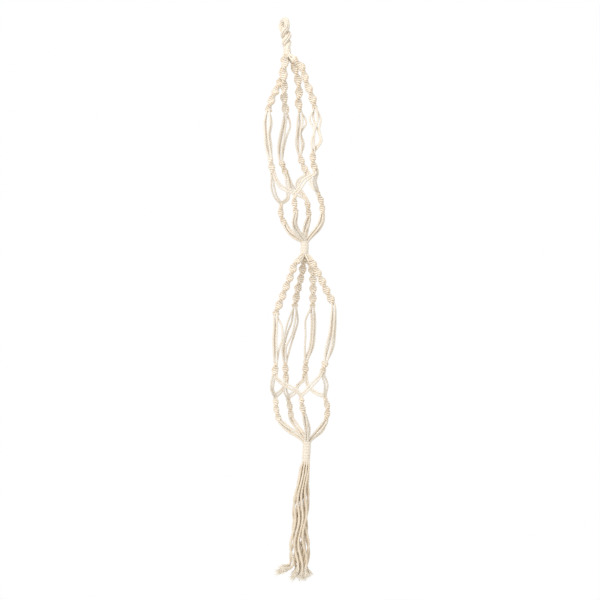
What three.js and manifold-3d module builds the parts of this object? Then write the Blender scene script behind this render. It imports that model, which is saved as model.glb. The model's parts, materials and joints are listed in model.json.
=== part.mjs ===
// Two-tier hanging macrame planter in soft cotton cord, hanging empty from its loop.
// Millimetres, +Z up, -Y is the front. The origin is the point of the loop that bears on a hook.
import * as THREE from 'three';
import { mergeVertices } from 'three/addons/utils/BufferGeometryUtils.js';
import Module from 'manifold-3d';

const wasm = await Module();
wasm.setup();

// Driving dimensions.
const cordDiameter = 4;
const sinnetDiameter = 13;
const shortSinnetDiameter = 12;
const pairDiameter = Math.SQRT2 * cordDiameter;
const loopDiameter = 10.5;
const loopNeckDiameter = 16;
const loopTurn = THREE.MathUtils.degToRad(-60);
const topWrapDiameter = 16;
const wrapDiameter = 18;
const endKnotLength = 4;
const endKnotDiameter = 12;
const gap = 0.4;
const knotGap = 1.6;
const fourDiameter = 2 * cordDiameter - gap;
const strandCorner = 2.6;
const pairLead = 5;
const eyeHalfWidth = 11.4;

const strandSides = 6;
const bundleSides = 8;
const wrapSides = 12;
const slackStep = 12;
const looseStep = 16;
const knotStep = 13;
const stretchStep = 10;
const tasselStep = 9;
const tasselPlaces = 22;
const loopStep = 5.5;
const loopNeckStep = 9;
const wrapBendSteps = 4;

const cotton = { color: 0xf1e4cb, roughness: 0.92, metalness: 0 };

// Each arm runs down its route: a neck, a spiral sinnet, four loose strands, a short sinnet.
// bows holds, for each loose strand, its [x, y] stand-off from the route at a quarter, half
// and three quarters of the way down.
const upperArms = {
  front_left: {
    route: [[-1, 4, -70], [-4, 7, -80], [-9, 9, -105], [-13, 8, -119], [-18, 5, -130],
      [-25, -4, -144], [-34, -18, -163], [-44, -31, -191], [-47, -38, -215], [-48, -41, -240],
      [-46, -42, -270], [-44, -42, -292], [-40, -41, -322]],
    sinnet: [-80, -191],
    shortSinnet: [-290, -322],
    bows: [[[-6, -3], [-5, -4], [-6, -3]], [[-3, 3], [-2, 4], [-2, 3]],
      [[6, -2], [2, -4], [2, -3]], [[10, 3], [6, 4], [6, 3]]],
  },
  back_left: {
    route: [[-1, -4, -70], [-2, -7, -80], [-6, -8, -103], [-7, -8, -119], [-7, -6, -130],
      [-8, 3, -144], [-9, 16, -165], [-7, 25, -190], [-10, 31, -212], [-16, 34, -237],
      [-22, 36, -265], [-23, 37, -286], [-20, 37, -298], [-13, 36, -318]],
    sinnet: [-80, -190],
    shortSinnet: [-291, -318],
    bows: [[[-5, -3], [-6, -3], [-5, -3]], [[-2, 3], [-2, 4], [-2, 4]],
      [[2, -3], [4, -3], [3, -3]], [[12, 3], [9, 3], [7, 3]]],
  },
  back_right: {
    route: [[7, 4, -70], [12, 7, -82], [21, 10, -113], [24, 18, -145], [21, 27, -166],
      [24, 33, -188], [25, 37, -211], [19, 40, -237], [20, 42, -262], [19, 42, -279],
      [24, 41, -300], [31, 39, -317]],
    sinnet: [-82, -188],
    shortSinnet: [-279, -317],
    bows: [[[-8, -3], [-5, -3], [-8, -3]], [[-3, 3], [-2, 3], [-3, 3]],
      [[3, -2], [2, -3], [4, -3]], [[11, 3], [4, 3], [9, 3]]],
  },
  front_right: {
    route: [[7, -4, -70], [16, -8, -80], [32, -13, -99], [39, -20, -129], [49, -28, -159],
      [55, -34, -190], [55, -37, -211], [56, -39, -237], [54, -40, -262], [47, -40, -282],
      [45, -39, -300], [49.5, -37, -320]],
    sinnet: [-84, -190],
    shortSinnet: [-281, -320],
    bows: [[[-12, -2], [-5, -3], [-10, -3]], [[-4, 3], [3, 3], [8, 3]],
      [[5, -3], [-3, -3], [-5, -2]], [[11, 2], [6, 2], [11, 2]]],
  },
};

const lowerArms = {
  front_left: {
    route: [[13.9, -4.4, -497], [7, -8, -504], [-3, -13, -515], [-13, -22, -539], [-25, -31, -564],
      [-35, -38, -587], [-49, -46, -621], [-48, -48, -650], [-51, -49, -680], [-54, -49, -705],
      [-54, -48, -721], [-57, -46, -746]],
    sinnet: [-513, -621],
    shortSinnet: [-720, -745],
    bows: [[[-6, -3], [-7, -4], [-4, -3]], [[-3, 3], [-4, 3], [-2, 3]],
      [[1, -1], [0, -2], [2, -3]], [[11, 2], [12, 3], [7, 3]]],
  },
  back_left: {
    route: [[13.9, 4.4, -497], [14.5, 7, -513], [8, 16, -543], [1, 24, -564], [-8, 33, -604],
      [-12, 37, -631], [-20, 40, -658], [-29, 41, -684], [-34, 41, -703], [-35, 40, -730],
      [-35, 38, -764]],
    sinnet: [-513, -606],
    shortSinnet: [-724, -764],
    bows: [[[-11, -3], [-11, -3], [-8, -3]], [[-3, 3], [-6, 3], [-4, 3]],
      [[4, -3], [5, -3], [0, -3]], [[10, 3], [10, 3], [9, 3]]],
  },
  back_right: {
    route: [[22.8, 4.4, -497], [28.5, 10, -514], [33, 19, -535], [33, 28, -560], [31, 38, -593],
      [30, 41, -606], [24, 44, -631], [21, 46, -665], [18, 46, -695], [10, 44, -724],
      [6, 41, -758]],
    sinnet: [-513, -608],
    shortSinnet: [-722, -758],
    bows: [[[-10, -2], [-9, -3], [-9, -3]], [[3, 3], [3, 3], [1, 3]],
      [[7, -3], [7, -3], [5, -3]], [[11, 2], [11, 2], [9, 2]]],
  },
  front_right: {
    route: [[22.8, -4.4, -497], [32, -9, -511], [42, -14, -530], [52, -21, -553], [62, -28, -577],
      [73, -36, -603], [75, -38, -614], [72, -40, -631], [69, -42, -658], [63, -42, -684],
      [57, -41, -710], [50, -40, -726], [43, -38, -747]],
    sinnet: [-513, -604],
    shortSinnet: [-723, -745],
    bows: [[[-5, -3], [-6, -3], [-8, -3]], [[-2, 3], [-2, 3], [-3, 3]],
      [[2, -3], [2, -3], [3, -3]], [[5, 3], [6, 3], [8, 3]]],
  },
};

// A cradle sinnet takes a pair of strands from each of two arms, by way of the points in from,
// and its four tail strands run on to the wrap below.
const upperCradles = {
  left: {
    from: {
      front_left: [[-42, -24, -350], [-37, -12, -371]],
      back_left: [[-10, 24, -352], [-12, 12, -374]],
    },
    route: [[-27, -2, -390], [-28, -1, -409], [-20, -1, -430]],
    tail: [[-12, -1, -444], [1, 0, -456], [13.2, 0, -465.6]],
  },
  front: {
    from: {
      front_left: [[-25, -44, -351], [-13, -44, -358]],
      front_right: [[26, -42, -341], [13, -43, -359]],
    },
    route: [[3, -41, -372], [2, -40, -388], [4, -38, -408]],
    tail: [[0, -32, -428], [6, -20, -446], [19.5, -6.4, -465.6]],
  },
  right: {
    from: {
      front_right: [[46.5, -24, -343], [50, -10, -356]],
      back_right: [[42, 24, -347], [48, 10, -357]],
    },
    route: [[53, 0, -366], [60, 0, -388], [60.5, 0, -412]],
    tail: [[58, 0, -424], [48, 0, -441], [36, 0, -455], [25.8, 0, -465.6]],
  },
  back: {
    from: {
      back_right: [[13, 44, -335], [10, 45, -345], [19, 43, -360]],
      back_left: [[-1, 40, -347], [8, 42, -361]],
    },
    route: [[29, 40, -380], [31, 38, -397], [31, 35, -417]],
    tail: [[26, 25, -434], [21, 14, -450], [19.5, 6.4, -465.6]],
  },
};

const lowerCradles = {
  left: {
    from: { front_left: [[-65, -26, -775]], back_left: [[-47, 18, -784]] },
    route: [[-59, -2, -799], [-58, -2, -824], [-53, -2, -845]],
    tail: [[-40, -1, -859], [-20, -1, -875], [-3.5, 0, -891.4]],
  },
  front: {
    from: {
      front_left: [[-41, -48, -765], [-25, -48, -774], [-13, -47, -781]],
      front_right: [[25, -42, -766], [9, -46, -781]],
    },
    route: [[-4, -44, -798], [-3, -42, -815], [1, -38, -834]],
    tail: [[4, -30, -852], [5, -17, -873], [3, -6.4, -891.4]],
  },
  right: {
    from: {
      front_right: [[50, -22, -774]],
      back_right: [[14, 32, -779], [28, 18, -792]],
    },
    route: [[47, 0, -804], [51, 0, -825], [46, 0, -850]],
    tail: [[36, 0, -866], [21, 0, -880], [9.4, 0, -891.4]],
  },
  back: {
    from: { back_right: [[-10, 44, -775], [-18, 45, -790]], back_left: [[-38, 44, -783]] },
    route: [[-32, 42, -805], [-29, 40, -824], [-28, 37, -843]],
    tail: [[-20, 28, -857], [-8, 16, -874], [3, 6.4, -891.4]],
  },
};

// Each wrap is a barrel with round ends, because the strands bend about both of its ends.
const wraps = {
  top_wrap: { top: [2.2, 0, -50], bottom: [3.2, 0, -69], diameter: topWrapDiameter },
  middle_wrap: { top: [20.2, 0, -466], bottom: [17.6, 0, -496], diameter: wrapDiameter },
  bottom_wrap: { top: [4, 0, -892], bottom: [-1.2, 0, -936], diameter: wrapDiameter },
};

// The tassel's middle line. Its strands stand in four rows of four below the wrap, open out
// on the way down and sway from side to side, each row in its own time.
const tasselAxis = [[-1.3, 0, -937.5], [-5, 0, -954], [-7.5, 0, -967], [-11, 0, -992],
  [-15, 0, -1018], [-18, 0, -1043], [-20.5, 0, -1069], [-21.5, 0, -1094], [-23.5, 0, -1119],
  [-25.5, 0, -1145], [-28, 0, -1185]];
const tasselRowCount = 4;
const tasselSpacing = 4.3;
const tasselWidening = 1.1;
const tasselDeepening = 1.1;
const swayWidth = 5.5;
const swaysAlong = 2.3;
const rowTimes = [0, 0.37, 0.71, 0.18];
const rowShifts = [-3, 2, -1, 3];
const columnLag = 0.07;
const depthSwayShare = 0.45;
const strandClearance = 0.2;
const endTurning = 38;
const endCrowding = 1.6;
// For each strand, row by row: how far its end turns aside [x, y], and its end height.
const tasselEnds = [
  [-19, -2, -1154], [-4, 0, -1168], [0, 0, -1177], [3, -1, -1170],
  [-26, 0, -1158], [-5, 0, -1179], [-1, 1, -1172], [3, 0, -1175],
  [-20, 1, -1149], [-6, 0, -1170], [-1, -1, -1180], [3, 0, -1173],
  [-26, 2, -1155], [-5, 1, -1175], [-1, 1, -1168], [3, 1, -1177],
];

const point = (place) => new THREE.Vector3(...place);

function polygon(diameter, sides) {
  const corners = [];
  for (let i = 0; i < sides; i += 1) {
    const angle = (2 * Math.PI * i) / sides;
    corners.push(new THREE.Vector2(Math.cos(angle), Math.sin(angle)).multiplyScalar(diameter / 2));
  }
  return new THREE.Shape(corners);
}

// A round tube along a smooth curve through the points.
function tube(points, diameter, sides, stepLength) {
  const path = new THREE.CatmullRomCurve3(points);
  const steps = Math.max(1, Math.round(path.getLength() / stepLength));
  return new THREE.ExtrudeGeometry(polygon(diameter, sides), {
    steps,
    bevelEnabled: false,
    extrudePath: path,
  });
}

function solidOf(geometry) {
  const bare = geometry.clone();
  bare.deleteAttribute('normal');
  bare.deleteAttribute('uv');
  const merged = mergeVertices(bare, 1e-4);
  return new wasm.Manifold(new wasm.Mesh({
    numProp: 3,
    vertProperties: new Float32Array(merged.attributes.position.array),
    triVerts: new Uint32Array(merged.index.array),
  }));
}

// Joins several closed geometries into one closed body.
function joined(geometries) {
  let whole = solidOf(geometries[0]);
  for (const geometry of geometries.slice(1)) {
    whole = whole.add(solidOf(geometry));
  }
  const { vertProperties, triVerts } = whole.getMesh();
  const result = new THREE.BufferGeometry();
  result.setAttribute('position', new THREE.BufferAttribute(vertProperties, 3));
  result.setIndex(new THREE.BufferAttribute(triVerts, 1));
  result.computeVertexNormals();
  return result;
}

// How far along a falling curve, from 0 to 1, the given height is reached.
function shareAtHeight(curve, height) {
  let above = 0;
  let below = 1;
  for (let i = 0; i < 40; i += 1) {
    const middle = (above + below) / 2;
    if (curve.getPointAt(middle).z > height) {
      above = middle;
    } else {
      below = middle;
    }
  }
  return (above + below) / 2;
}

function stretch(curve, from, to) {
  const count = Math.max(2, Math.ceil(((to - from) * curve.getLength()) / stretchStep));
  const points = [];
  for (let i = 0; i <= count; i += 1) {
    points.push(curve.getPointAt(Math.min(1, from + ((to - from) * i) / count)));
  }
  return points;
}

function sinnetTube(curve, from, to, diameter) {
  return tube(stretch(curve, from, to), diameter, bundleSides, knotStep);
}

// A short solid of the first or last knot, from a place on the curve towards another.
function endKnot(curve, from, direction) {
  const centre = curve.getPointAt(from);
  const ahead = curve.getTangentAt(from).multiplyScalar(direction * endKnotLength);
  return tube([centre, centre.clone().add(ahead)], endKnotDiameter, bundleSides, endKnotLength);
}

// The four strands leave a sinnet at the corners of a square.
function cornerOf(index) {
  const x = index < 2 ? -strandCorner : strandCorner;
  const y = index % 2 ? strandCorner : -strandCorner;
  return new THREE.Vector3(x, y, 0);
}

function looseStrands(curve, from, to, bows) {
  const parts = [endKnot(curve, from, 1), endKnot(curve, to, -1)];
  const inset = (endKnotLength / 2) / curve.getLength();
  bows.forEach((bow, index) => {
    const points = [curve.getPointAt(from + inset).add(cornerOf(index))];
    bow.forEach(([x, y], quarter) => {
      const share = from + ((to - from) * (quarter + 1)) / 4;
      points.push(curve.getPointAt(share).add(new THREE.Vector3(x, y, 0)));
    });
    points.push(curve.getPointAt(to - inset).add(cornerOf(index)));
    parts.push(tube(points, cordDiameter, strandSides, looseStep));
  });
  return joined(parts);
}

function crossStrands(routes, knotCurve) {
  const parts = [endKnot(knotCurve, 0, -1)];
  for (const points of routes) {
    parts.push(tube(points, pairDiameter, strandSides, slackStep));
  }
  return joined(parts);
}

const object = new THREE.Group();
object.name = 'hanging_macrame_planter';

function addPiece(name, geometry) {
  const mesh = new THREE.Mesh(geometry, new THREE.MeshStandardMaterial(cotton));
  mesh.name = name;
  object.add(mesh);
  return mesh;
}

// The loop: the folded cords go up round the eye and come down side by side into a neck.
function addLoop() {
  const legSpacing = (loopDiameter + gap) / 2;
  const rising = [[legSpacing, -28], [6.4, -21], [10, -14], [eyeHalfWidth, -7], [8.4, 1.6]];
  const falling = [...rising].reverse().map(([across, height]) => [-across, height]);
  const points = [...rising, [0, loopDiameter / 2], ...falling].map(([across, height]) => point([
    across * Math.cos(loopTurn),
    across * Math.sin(loopTurn),
    height,
  ]));
  const neck = [[0.4, 0, -25], [1.4, 0, -36], [2.1, 0, -49.4]].map(point);
  addPiece('hanging_loop', joined([
    tube(points, loopDiameter, bundleSides, loopStep),
    tube(neck, loopNeckDiameter, bundleSides, loopNeckStep),
  ]));
}

function addWrap(name, { top, bottom, diameter }) {
  const radius = diameter / 2;
  const length = point(top).distanceTo(point(bottom));
  const profile = [];
  for (let i = 0; i <= wrapBendSteps; i += 1) {
    const angle = (Math.PI / 2) * (i / wrapBendSteps);
    profile.push(new THREE.Vector2(radius * Math.sin(angle),
      -length / 2 + radius - radius * Math.cos(angle)));
  }
  for (const { x, y } of [...profile].reverse()) {
    profile.push(new THREE.Vector2(x, -y));
  }
  profile[0].x = 0;
  profile[profile.length - 1].x = 0;
  const mesh = addPiece(name, new THREE.LatheGeometry(profile, wrapSides));
  mesh.position.copy(point(top).add(point(bottom)).multiplyScalar(0.5));
  mesh.quaternion.setFromUnitVectors(
    new THREE.Vector3(0, 1, 0),
    point(top).sub(point(bottom)).normalize(),
  );
}

// Each arm end sends one pair to each side; the two pairs start side by side across it.
function pairStarts(armCurve, endShare, targets) {
  const end = armCurve.getPointAt(endShare);
  const down = armCurve.getTangentAt(endShare);
  const apart = targets[0].clone().sub(targets[1]);
  apart.addScaledVector(down, -apart.dot(down)).setLength(pairDiameter / 2 + gap);
  return [1, -1].map((side) => {
    const start = end.clone().addScaledVector(down, 2 * gap).addScaledVector(apart, side);
    return [start, start.clone().addScaledVector(down, pairLead)];
  });
}

function addTier(tierName, arms, cradles) {
  const pairsOf = {};
  for (const [side, arm] of Object.entries(arms)) {
    const curve = new THREE.CatmullRomCurve3(arm.route.map(point));
    const gapShare = knotGap / curve.getLength();
    const sinnet = arm.sinnet.map((height) => shareAtHeight(curve, height));
    const shortSinnet = arm.shortSinnet.map((height) => shareAtHeight(curve, height));
    const neck = sinnetTube(curve, 0, sinnet[0] + gapShare, fourDiameter);
    const spiral = sinnetTube(curve, sinnet[0], sinnet[1], sinnetDiameter);
    addPiece(`${tierName}_${side}_sinnet`, joined([neck, spiral]));
    addPiece(`${tierName}_${side}_loose_strands`,
      looseStrands(curve, sinnet[1] + gapShare, shortSinnet[0] - gapShare, arm.bows));
    addPiece(`${tierName}_${side}_short_sinnet`,
      sinnetTube(curve, shortSinnet[0], shortSinnet[1], shortSinnetDiameter));
    const targets = Object.entries(cradles).filter(([, cradle]) => side in cradle.from);
    const firstPlaces = targets.map(([, { from }]) => point(from[side][0]));
    const starts = pairStarts(curve, shortSinnet[1], firstPlaces);
    pairsOf[side] = Object.fromEntries(targets.map(([name], index) => [name, starts[index]]));
  }
  for (const [side, { from, route, tail }] of Object.entries(cradles)) {
    const knotCurve = new THREE.CatmullRomCurve3(route.map(point));
    const above = knotCurve.getPointAt(0);
    above.addScaledVector(knotCurve.getTangentAt(0), -endKnotLength);
    const routes = Object.entries(from).map(([arm, middles]) => [
      ...pairsOf[arm][side],
      ...middles.map(point),
      above,
    ]);
    addPiece(`${tierName}_${side}_cross_strands`, crossStrands(routes, knotCurve));
    const sinnet = sinnetTube(knotCurve, gap / knotCurve.getLength(), 1, shortSinnetDiameter);
    const tailPoints = [...route.slice(1), ...tail].map(point);
    const tailStrands = tube(tailPoints, fourDiameter, bundleSides, knotStep);
    addPiece(`${tierName}_${side}_cradle_sinnet`, joined([sinnet, tailStrands]));
  }
}

// The place of a tassel strand, from 0 at the wrap to 1 at its end. The ends turn aside
// sharply, so that turn is a high power of the share.
function tasselPlace(axis, index, share) {
  const [endX, endY, endHeight] = tasselEnds[index];
  const row = Math.floor(index / tasselRowCount);
  const column = index % tasselRowCount;
  const fromMiddle = (place) => place - (tasselRowCount - 1) / 2;
  const opened = Math.sqrt(share);
  const rowSpacing = tasselSpacing * (1 + tasselDeepening * opened);
  const time = 2 * Math.PI * (swaysAlong * share + rowTimes[row] + columnLag * column);
  const shiftX = opened * (swayWidth * Math.sin(time) + rowShifts[row]);
  const slack = rowSpacing - cordDiameter - strandClearance;
  const swayY = slack * depthSwayShare * Math.sin(time + 2 * column);
  const turned = share ** endTurning;
  return axis.getPointAt(share * shareAtHeight(axis, endHeight)).add(point([
    fromMiddle(column) * tasselSpacing * (1 + tasselWidening * opened) + shiftX + endX * turned,
    fromMiddle(row) * rowSpacing + swayY + endY * turned,
    0,
  ]));
}

function addTassel() {
  const axis = new THREE.CatmullRomCurve3(tasselAxis.map(point));
  tasselEnds.forEach((end, index) => {
    const points = [];
    for (let i = 0; i <= tasselPlaces; i += 1) {
      points.push(tasselPlace(axis, index, 1 - (1 - i / tasselPlaces) ** endCrowding));
    }
    const name = `tassel_strand_${String(index + 1).padStart(2, '0')}`;
    addPiece(name, tube(points, cordDiameter, bundleSides, tasselStep));
  });
}

addLoop();
for (const [name, wrap] of Object.entries(wraps)) {
  addWrap(name, wrap);
}
addTier('upper', upperArms, upperCradles);
addTier('lower', lowerArms, lowerCradles);
addTassel();

export default object;
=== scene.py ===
import json
import math
import bpy
import numpy as np
from mathutils import Matrix, Vector


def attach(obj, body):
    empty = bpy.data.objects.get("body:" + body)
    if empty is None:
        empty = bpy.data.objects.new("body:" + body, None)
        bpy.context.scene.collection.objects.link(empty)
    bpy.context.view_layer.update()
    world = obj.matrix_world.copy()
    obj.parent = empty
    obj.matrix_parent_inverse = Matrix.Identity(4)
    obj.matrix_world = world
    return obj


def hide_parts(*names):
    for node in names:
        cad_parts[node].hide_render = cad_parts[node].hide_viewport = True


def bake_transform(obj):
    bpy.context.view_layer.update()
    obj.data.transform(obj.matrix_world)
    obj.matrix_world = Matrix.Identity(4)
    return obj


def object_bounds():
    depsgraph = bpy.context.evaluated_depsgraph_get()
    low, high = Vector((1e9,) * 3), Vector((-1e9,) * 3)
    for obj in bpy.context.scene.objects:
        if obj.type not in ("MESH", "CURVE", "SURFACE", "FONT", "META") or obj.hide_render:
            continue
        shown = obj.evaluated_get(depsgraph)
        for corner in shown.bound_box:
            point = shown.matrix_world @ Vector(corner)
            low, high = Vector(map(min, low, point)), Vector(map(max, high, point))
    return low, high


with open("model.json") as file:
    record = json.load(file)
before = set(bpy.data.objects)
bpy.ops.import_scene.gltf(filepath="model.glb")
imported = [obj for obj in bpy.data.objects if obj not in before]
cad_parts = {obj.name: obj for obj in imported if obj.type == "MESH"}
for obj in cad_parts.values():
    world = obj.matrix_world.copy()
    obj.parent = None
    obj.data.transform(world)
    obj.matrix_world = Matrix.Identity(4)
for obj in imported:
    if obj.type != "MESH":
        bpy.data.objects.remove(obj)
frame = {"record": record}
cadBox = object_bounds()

print("frame loaded")
scene = bpy.context.scene

# camera: level, in front of the middle of the object, with the small roll of the view
cameraSettings = {
    "distance": 3.5,
    "pictureWidth": 1.2768,  # what the picture spans at the object, in metres
    "sensor": 36.0,
    "roll": math.radians(2.85),
    "aim": (0.0036, 0.0, -0.5914),
}


def addCamera(settings):
    data = bpy.data.cameras.new("camera")
    data.sensor_width = settings["sensor"]
    data.lens = settings["sensor"] * settings["distance"] / settings["pictureWidth"]
    camera = bpy.data.objects.new("camera", data)
    scene.collection.objects.link(camera)
    cosRoll = math.cos(settings["roll"])
    sinRoll = math.sin(settings["roll"])
    right = Vector((cosRoll, 0, -sinRoll))
    upward = Vector((sinRoll, 0, cosRoll))
    turn = Matrix((right, upward, Vector((0, -1, 0)))).transposed().to_4x4()
    place = Vector(settings["aim"]) - Vector((0, settings["distance"], 0))
    camera.matrix_world = Matrix.Translation(place) @ turn
    scene.camera = camera


addCamera(cameraSettings)

# cords: every strand is a three-ply twisted cotton cord
cordSettings = {
    "radius": 0.002,
    "plies": 3,
    "sidesPerPly": 4,
    "crevice": 0.16,  # how deep the groove between plies cuts into the radius
    "lay": 0.0125,  # length of one full turn of the plies
    "step": 0.0014,
    "plyRoundness": 0.7,
    "grooveSharpness": 1.3,
}
plyAngles = np.arange(cordSettings["plies"] * cordSettings["sidesPerPly"])
plyAngles = plyAngles * 2 * math.pi / len(plyAngles)
# lobe height: the cosine of the angle within a ply, round on top and sharp in the groove
plyLobes = np.abs(np.cos(plyAngles * cordSettings["plies"] / 2)) ** cordSettings["plyRoundness"]
plySection = 1 - cordSettings["crevice"] * (1 - plyLobes)
# painted shade in the grooves between plies: none on a ply's crest, full deep in the groove
plyGrooveShade = (1 - plyLobes) ** cordSettings["grooveSharpness"]


def unit(vectors):
    length = np.linalg.norm(vectors, axis=-1, keepdims=True)
    return vectors / np.maximum(length, 1e-9)


def alongLength(path):
    # distance from the first point to each point, measured along the path
    legs = np.linalg.norm(np.diff(path, axis=0), axis=1)
    return np.concatenate([[0.0], np.cumsum(legs)])


def readAt(distance, reach, rows):
    # the rows' values at the given distances, where reach is each row's own distance
    return np.column_stack([np.interp(distance, reach, rows[:, k]) for k in range(3)])


def curveThrough(points, step=0.001):
    # centripetal Catmull-Rom curve through the points (knots a square root of a leg apart),
    # cut into equal steps
    points = np.asarray(points, float)
    ends = [2 * points[0] - points[1], 2 * points[-1] - points[-2]]
    p = np.vstack([ends[0], points, ends[1]])
    legs = np.linalg.norm(np.diff(p, axis=0), axis=1)
    knots = np.concatenate([[0.0], np.cumsum(legs ** 0.5)])
    samplesPerLeg = 24
    pieces = []
    for i in range(len(p) - 3):
        t0, t1, t2, t3 = knots[i:i + 4]
        t = np.linspace(t1, t2, samplesPerLeg, endpoint=False)[:, None]
        a1 = ((t1 - t) * p[i] + (t - t0) * p[i + 1]) / (t1 - t0)
        a2 = ((t2 - t) * p[i + 1] + (t - t1) * p[i + 2]) / (t2 - t1)
        a3 = ((t3 - t) * p[i + 2] + (t - t2) * p[i + 3]) / (t3 - t2)
        b1 = ((t2 - t) * a1 + (t - t0) * a2) / (t2 - t0)
        b2 = ((t3 - t) * a2 + (t - t1) * a3) / (t3 - t1)
        pieces.append(((t2 - t) * b1 + (t - t1) * b2) / (t2 - t1))
    fine = np.vstack(pieces + [points[-1:]])
    reach = alongLength(fine)
    even = np.linspace(0, reach[-1], max(3, int(round(reach[-1] / step)) + 1))
    return readAt(even, reach, fine)


def spotAt(line, distance):
    return readAt(distance, alongLength(line), line)


def across(path, reference):
    # two directions square to the path and to each other, the first nearest the reference
    tangent = unit(np.gradient(path, axis=0))
    reference = np.broadcast_to(np.asarray(reference, float), path.shape)
    side = unit(reference - np.sum(reference * tangent, axis=1, keepdims=True) * tangent)
    return side, np.cross(tangent, side)


def ringDirections(angle, side, other):
    # directions round a path at the given angles, one row for each point of the path
    angle = angle[..., None]
    return np.cos(angle) * side[:, None, :] + np.sin(angle) * other[:, None, :]


def twistedCord(path, reference, radius=None, phase=0.0, taper=None, shade=None, step=None):
    # the ply section carried along the path and turned once for each lay length
    step = step or cordSettings["step"]
    radius = radius or cordSettings["radius"]
    reach = alongLength(path)
    even = np.linspace(0, reach[-1], max(4, int(round(reach[-1] / step)) + 1))
    reference = np.broadcast_to(np.asarray(reference, float), path.shape)
    reference = readAt(even, reach, reference)
    share = even / reach[-1]
    if taper is not None:
        radius = radius * np.interp(share, np.linspace(0, 1, len(taper)), taper)[:, None]
    shadeAlong = np.zeros(len(even)) if shade is None else np.interp(even, reach, shade)
    path = readAt(even, reach, path)
    side, other = across(path, reference)
    angle = plyAngles[None, :] + 2 * math.pi * even[:, None] / cordSettings["lay"] + phase
    out = ringDirections(angle, side, other)
    ring = radius * plySection[None, :]
    tube = np.stack([
        np.broadcast_to(even[:, None], angle.shape),
        cordSettings["radius"] * np.cos(angle),
        cordSettings["radius"] * np.sin(angle),
    ], axis=-1)
    # painted shade in the ply grooves
    grooveShade = np.broadcast_to(plyGrooveShade[None, :], angle.shape)
    return {
        "points": path[:, None, :] + ring[..., None] * out,
        "tube": tube + phase,
        "grooveShade": grooveShade,
        "shade": np.broadcast_to(shadeAlong[:, None], angle.shape),
    }


random = np.random.default_rng(11)


def buildPiece(name, strands, material, body=None, nodes=()):
    # joins the strands' grids into one mesh, each strand closed by a face at both ends
    points, quads, caps, tube, grooveShade, shade, tint = [], [], [], [], [], [], []
    first = 0
    for strand in strands:
        rings, sides = strand["points"].shape[:2]
        index = first + np.arange(rings * sides).reshape(rings, sides)
        nextSide = np.roll(index, -1, axis=1)
        fourCorners = [index[:-1], nextSide[:-1], nextSide[1:], index[1:]]
        quads.append(np.stack(fourCorners, axis=-1).reshape(-1, 4))
        caps += [index[0, ::-1], index[-1]]
        points.append(strand["points"].reshape(-1, 3))
        tube.append(strand["tube"].reshape(-1, 3))
        grooveShade.append(strand["grooveShade"].ravel())
        shade.append(strand["shade"].ravel())
        tint.append(np.full(rings * sides, random.uniform(-1, 1)))
        first += rings * sides
    points = np.vstack(points)
    quads = np.vstack(quads)
    mesh = bpy.data.meshes.new(name)
    mesh.vertices.add(len(points))
    mesh.vertices.foreach_set("co", points.astype(np.float32).ravel())
    corners = np.concatenate([quads.ravel()] + caps)
    sizes = np.concatenate([np.full(len(quads), 4), [len(cap) for cap in caps]])
    starts = np.concatenate([[0], np.cumsum(sizes)[:-1]])
    mesh.loops.add(len(corners))
    mesh.loops.foreach_set("vertex_index", corners.astype(np.int32))
    mesh.polygons.add(len(sizes))
    mesh.polygons.foreach_set("loop_start", starts.astype(np.int32))
    mesh.polygons.foreach_set("use_smooth", np.ones(len(sizes), bool))
    mesh.update(calc_edges=True)
    spread = mesh.attributes.new("cordTube", "FLOAT_VECTOR", "POINT")
    spread.data.foreach_set("vector", np.vstack(tube).astype(np.float32).ravel())
    # stored attributes: painted shade in the ply grooves, painted shade where strands interlock or
    # lie hidden, and each strand's own tint
    for label, values in (("grooveShade", grooveShade), ("shade", shade), ("tint", tint)):
        layer = mesh.attributes.new(label, "FLOAT", "POINT")
        layer.data.foreach_set("value", np.concatenate(values).astype(np.float32))
    mesh.materials.append(material)
    piece = bpy.data.objects.new(name, mesh)
    scene.collection.objects.link(piece)
    if body:
        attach(piece, body)
    if nodes:
        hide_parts(*nodes)
    return piece


# materials: undyed cotton, lighter on the ply crests and with warmer painted shade in the grooves
def addSocket(group, name, kind, direction, value=None):
    socket = group.interface.new_socket(name, in_out=direction, socket_type=kind)
    if value is not None:
        socket.default_value = value


patternSettings = {
    "yarnScale": (110, 1500, 1500),  # along the cord, then across it
    "yarnDetail": 4,
    "fuzzScale": (700, 2600, 2600),
    "fuzzDetail": 3,
    "fuzzRoughness": 0.7,
    "fuzzHeight": 0.35,
    "patchScale": 26.0,
    "patchDetail": 2,
    "yarnContrast": -0.6,  # yarns above the middle value are lighter
    "tintContrast": 0.1,
}


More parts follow.
